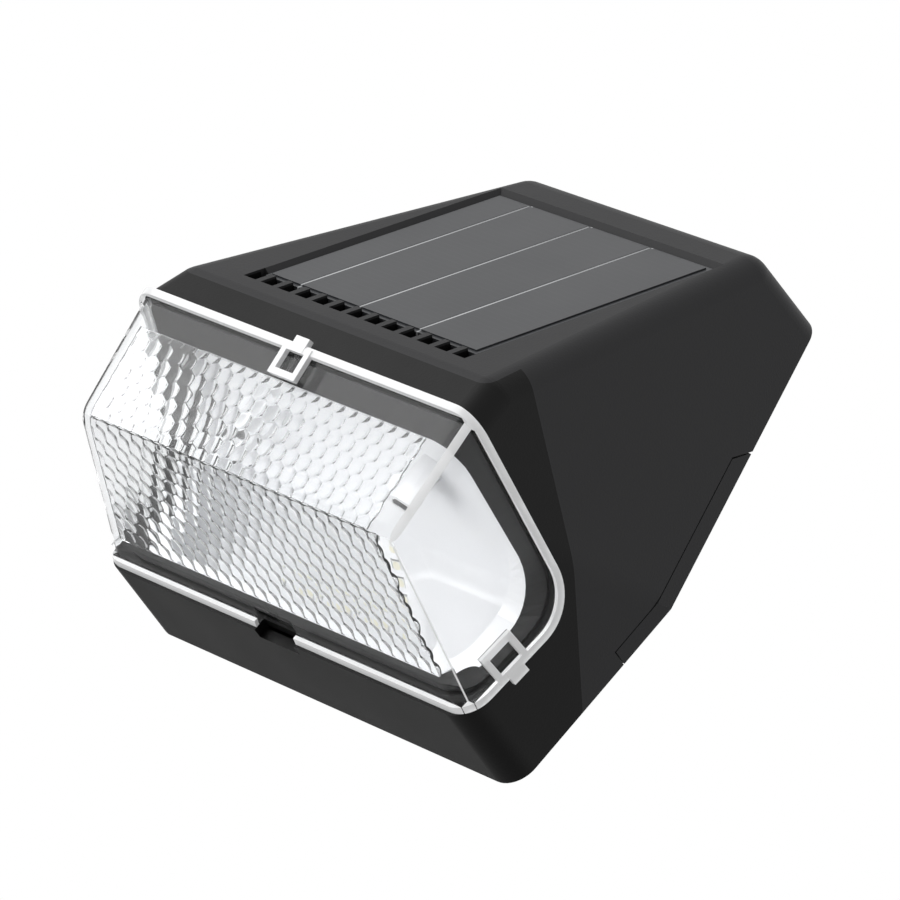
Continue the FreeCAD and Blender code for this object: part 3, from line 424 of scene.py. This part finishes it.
dimple, place = open_finish("acrylic_dimples")
haze = noise(place, scale=300.0, detail=1.0)
close_clear(place, principled(place, Base_Color=CLEAR_ACRYLIC, Roughness=0.02 + haze * 0.02,
                              IOR=dimple_index, Transmission_Weight=1.0))

for name, first_line, last_line, shares, start_sides, end_sides in dimple_fields:
    start, end = (first_line.lerp(last_line, share) for share in shares)
    points, faces, curved = dimple_skin(start, end, start_sides, end_sides)
    skin = mesh_piece(name, points, faces, dimple, smooth=np.arange(len(faces)) < curved)
    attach(skin, "lamp")

# ---------------------------------------------------------------------------------------------
# Solar panel: four strips of dark cell under a clear coat, with fine silver fingers across them and
# a pale soldered ribbon over each seam between two strips. A black foam pad lies under it.

CELL = (0.040, 0.042, 0.046, 1)
CELL_FINGER = (0.047, 0.049, 0.054, 1)
SEAM = (0.42, 0.43, 0.44, 1)
RUBBER_BLACK = (0.012, 0.012, 0.012, 1)
finger_rise = 0.0013536
finger_share = 0.1
seams = (-0.0189, -0.0032, 0.0125)
seam_line = 0.0002
cell_thick = 0.0003
ribbon_half = 0.00035
ribbon_sink = 0.00004
ribbon_crown = 0.00003

cell_coat, place = open_finish("coated_cell")
finger = place.maths("FRACT", coordinate(place, "Z") * (1 / finger_rise)) < finger_share
tint = noise(place, scale=60.0, detail=2.0)
close_finish(place, Base_Color=between(finger, CELL, CELL_FINGER), Roughness=0.3 + tint * 0.1,
             Specular_IOR_Level=0.2, Coat_Weight=0.08, Coat_Roughness=0.15)
dress(cell_coat, "cell_1", "cell_2", "cell_3", "cell_4")

laminate, place = open_finish("laminate")
fleck = noise(place, scale=700.0, detail=2.0)
across = coordinate(place, "X")
ribbon = 0.0
for seam in seams:
    ribbon = (place.maths("ABSOLUTE", across - seam) < seam_line) + ribbon
close_finish(place, Base_Color=between(ribbon, CELL, SEAM), Roughness=0.35 + fleck * 0.15)
dress(laminate, "solar_panel")

cell_low, cell_high = (np.array(corner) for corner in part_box("cell_2"))
slope_turn = math.atan2(slope_up[2], slope_up[1])
ribbon_start = Vector((0, cell_low[1], cell_low[2] + cell_thick * math.cos(slope_turn)))
ribbon_end = Vector((0, cell_high[1] - cell_thick * math.sin(slope_turn), cell_high[2]))


def seam_ribbon(seam):
    """A soldered strip along one seam: an arch of height crown * (1 - across^2), across from -1 to 1,
    carried up the slope and closed below and at both ends."""
    across = np.linspace(-1, 1, 9)
    crown = ribbon_crown * (1 - across ** 2) - ribbon_sink
    section_across = np.append(seam + across * ribbon_half, [seam + ribbon_half, seam - ribbon_half])
    section_out = np.append(crown, [-cell_thick, -cell_thick])
    section = section_across[:, None] * np.array([1.0, 0, 0]) + section_out[:, None] * np.array(slope_out)
    ends = [np.array(end) + section for end in (ribbon_start, ribbon_end)]
    count = len(section)
    here = np.arange(count)
    following = np.roll(here, -1)
    sides = np.stack([here, following, following + count, here + count], axis=-1)
    return np.vstack(ends), [*sides.tolist(), here[::-1].tolist(), (here + count).tolist()]


ribbon_points, ribbon_faces = [], []
for number, seam in enumerate(seams):
    points, faces = seam_ribbon(seam)
    ribbon_points.append(points)
    ribbon_faces += [[index + number * len(points) for index in face] for face in faces]
ribbons = mesh_piece("cell_ribbons", np.vstack(ribbon_points), ribbon_faces, laminate, smooth=True)
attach(ribbons, "lamp")

rubber, place = open_finish("black_rubber")
bloom = noise(place, scale=1400.0, detail=2.0)
close_finish(place, Base_Color=RUBBER_BLACK, Roughness=0.7 + bloom * 0.15,
             Normal=grain(place, scale=1800.0, strength=0.3, depth=0.0001))
dress(rubber, "panel_pad", "rear_gasket", "button")

# ---------------------------------------------------------------------------------------------
# Wall bracket and screws: zinc-plated steel, stamped flat, with two headed studs riveted in. The
# back cover's screws and the battery's contacts have the same plating.

ZINC = (0.56, 0.57, 0.58, 1)
ZINC_DULL = (0.40, 0.41, 0.43, 1)

zinc, place = open_finish("zinc_plate")
dull = noise(place, scale=90.0, detail=3.0)
close_finish(place, Base_Color=between(dull, ZINC, ZINC_DULL), Metallic=1.0, Roughness=0.28 + dull * 0.22)
dress(zinc, "wall_bracket", "bracket_stud_left", "bracket_stud_right",
      *[f"cover_screw_{number}" for number in range(1, 5)], "battery_contact_left", "battery_contact_right")

# ---------------------------------------------------------------------------------------------
# Inside: a green control board with its black switch, and a blue-sleeved cell in a black tray.

GREEN_MASK = (0.02, 0.13, 0.06, 1)
GREEN_TRACK = (0.03, 0.19, 0.09, 1)
SLEEVE = (0.03, 0.12, 0.32, 1)
track_level = 0.55

green, place = open_finish("green_solder_mask")
tracks = noise(place, scale=400.0, detail=0.0) > track_level
close_finish(place, Base_Color=between(tracks, GREEN_MASK, GREEN_TRACK), Roughness=0.35 + tracks * 0.1)
dress(green, "control_board")

sleeve, place = open_finish("blue_sleeve")
wrinkle = noise(place, scale=200.0, detail=2.0)
close_finish(place, Base_Color=SLEEVE, Roughness=0.3 + wrinkle * 0.1)
dress(sleeve, "battery")

tray_black, place = open_finish("tray_black")
mould = noise(place, scale=300.0, detail=2.0)
close_finish(place, Base_Color=BLACK_ABS, Roughness=0.5 + mould * 0.1)
dress(tray_black, "battery_tray", "button_switch")

# ---------------------------------------------------------------------------------------------
# Stage: a pale floor well below the lamp, which hangs as it does on its wall, a surround that is
# white to the camera and in mirrors and glass, and two soft lamps. The camera stands low to the
# lamp's right and is rolled, as in the photograph.

WHITE = (1, 1, 1, 1)
PALE = (0.80, 0.80, 0.80, 1)
floor_level = -1.3
floor_half = 6.0
pale_strength = 0.72

stage_white, place = open_finish("stage_floor")
close_finish(place, Base_Color=PALE, Roughness=0.9)
floor_points = [(across * floor_half, away * floor_half, floor_level)
                for across, away in ((-1, -1), (1, -1), (1, 1), (-1, 1))]
floor = mesh_piece("floor", floor_points, [(0, 1, 2, 3)], stage_white, smooth=True)

world = bpy.data.worlds.new("surround")
bpy.context.scene.world = world
world.use_nodes = True
world.node_tree.nodes.clear()
sky = Socket(world.node_tree)
seen, glossy, passed, diffuse_depth = (sky.node("ShaderNodeLightPath", output=name) for name in (
    "Is Camera Ray", "Is Glossy Ray", "Is Transmission Ray", "Diffuse Depth"))
shows_white = seen.larger(glossy).larger(passed) * (diffuse_depth < 1.0)
glow = sky.node("ShaderNodeBackground", inputs={"Color": PALE, "Strength": pale_strength})
white = sky.node("ShaderNodeBackground", inputs={"Color": WHITE, "Strength": 1.0})
surround = sky.node("ShaderNodeMixShader", inputs={0: shows_white, 1: glow, 2: white})
sky.node("ShaderNodeOutputWorld", inputs={"Surface": surround})

lens_mm = 256.56
sensor_mm = 36.0
camera_azimuth = math.radians(49.148)
camera_elevation = math.radians(-16.893)
camera_roll = math.radians(40.063)
camera_distance = 1.08374
camera_aim = Vector((0.00344, -0.01946, -0.00616))

camera_data = bpy.data.cameras.new("camera")
camera_data.lens = lens_mm
camera_data.sensor_width = sensor_mm
camera = bpy.data.objects.new("camera", camera_data)
bpy.context.scene.collection.objects.link(camera)
bpy.context.scene.camera = camera
towards = Vector((math.sin(camera_azimuth) * math.cos(camera_elevation),
                  -math.cos(camera_azimuth) * math.cos(camera_elevation), math.sin(camera_elevation)))
level = towards.to_track_quat("Z", "Y").to_matrix().to_4x4()
rolled = level @ Matrix.Rotation(camera_roll, 4, "Z")
camera.matrix_world = Matrix.Translation(camera_aim + towards * camera_distance) @ rolled


def soft_lamp(name, across, up, nearer, size, power):
    """A square soft lamp that faces the aim, placed by the picture's own right, up and near directions."""
    spot = camera_aim + camera.matrix_world.to_3x3() @ Vector((across, up, nearer))
    data = bpy.data.lights.new(name, "AREA")
    data.size = size
    data.energy = power
    lamp = bpy.data.objects.new(name, data)
    facing = (spot - camera_aim).to_track_quat("Z", "Y").to_matrix().to_4x4()
    lamp.matrix_world = Matrix.Translation(spot) @ facing
    bpy.context.scene.collection.objects.link(lamp)


soft_lamp("key", across=-0.6, up=0.85, nearer=0.05, size=0.8, power=5.6)
soft_lamp("fill", across=-0.95, up=-0.25, nearer=0.55, size=0.8, power=3.1)

bpy.context.scene.view_settings.view_transform = "Standard"
